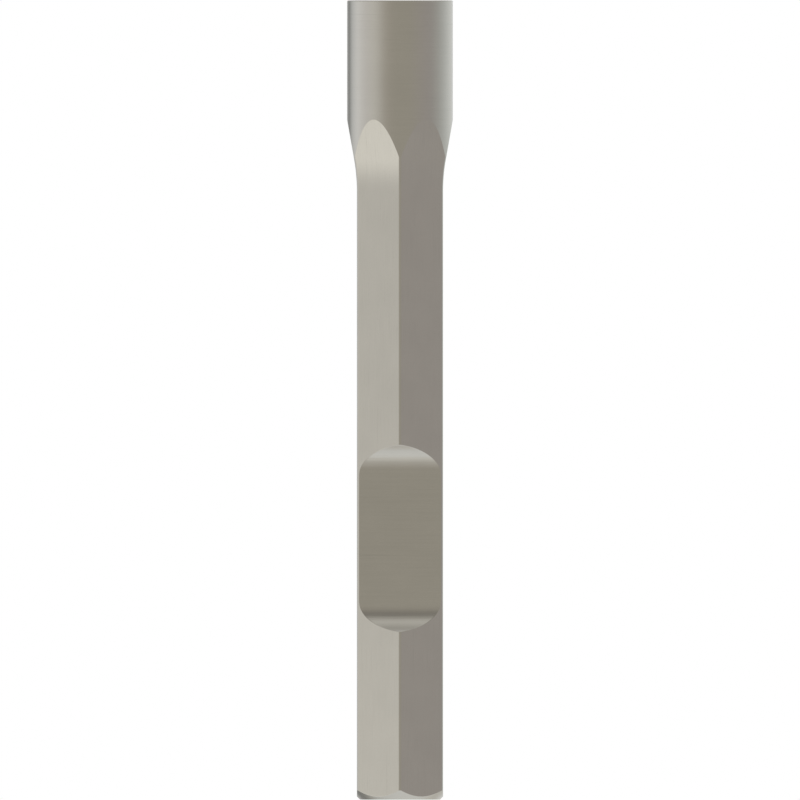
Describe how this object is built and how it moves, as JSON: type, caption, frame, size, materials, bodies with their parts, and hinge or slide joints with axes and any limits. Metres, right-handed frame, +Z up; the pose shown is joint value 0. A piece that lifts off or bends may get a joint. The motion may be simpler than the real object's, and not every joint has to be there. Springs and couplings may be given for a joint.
{
  "type": "ground rod driver",
  "caption": "One-piece steel driver that fits a hexagonal breaker chuck and hammers a ground rod in with the socket in its round head.",
  "frame": {"origin": "on the axis, at the flat end face of the shank", "axes": "+Z up the axis, from the shank end to the socket in the head; -Y faces out of the retainer notch; X is square to two of the six shank flats"},
  "size_m": [0.0344, 0.0344, 0.26],
  "materials": {
    "tool_steel": "plain warm grey steel, ground flats and a finely turned head, satin, no coating"
  },
  "bodies": {
    "root": {"rod_driver": "tool_steel"}
  },
  "joints": []
}
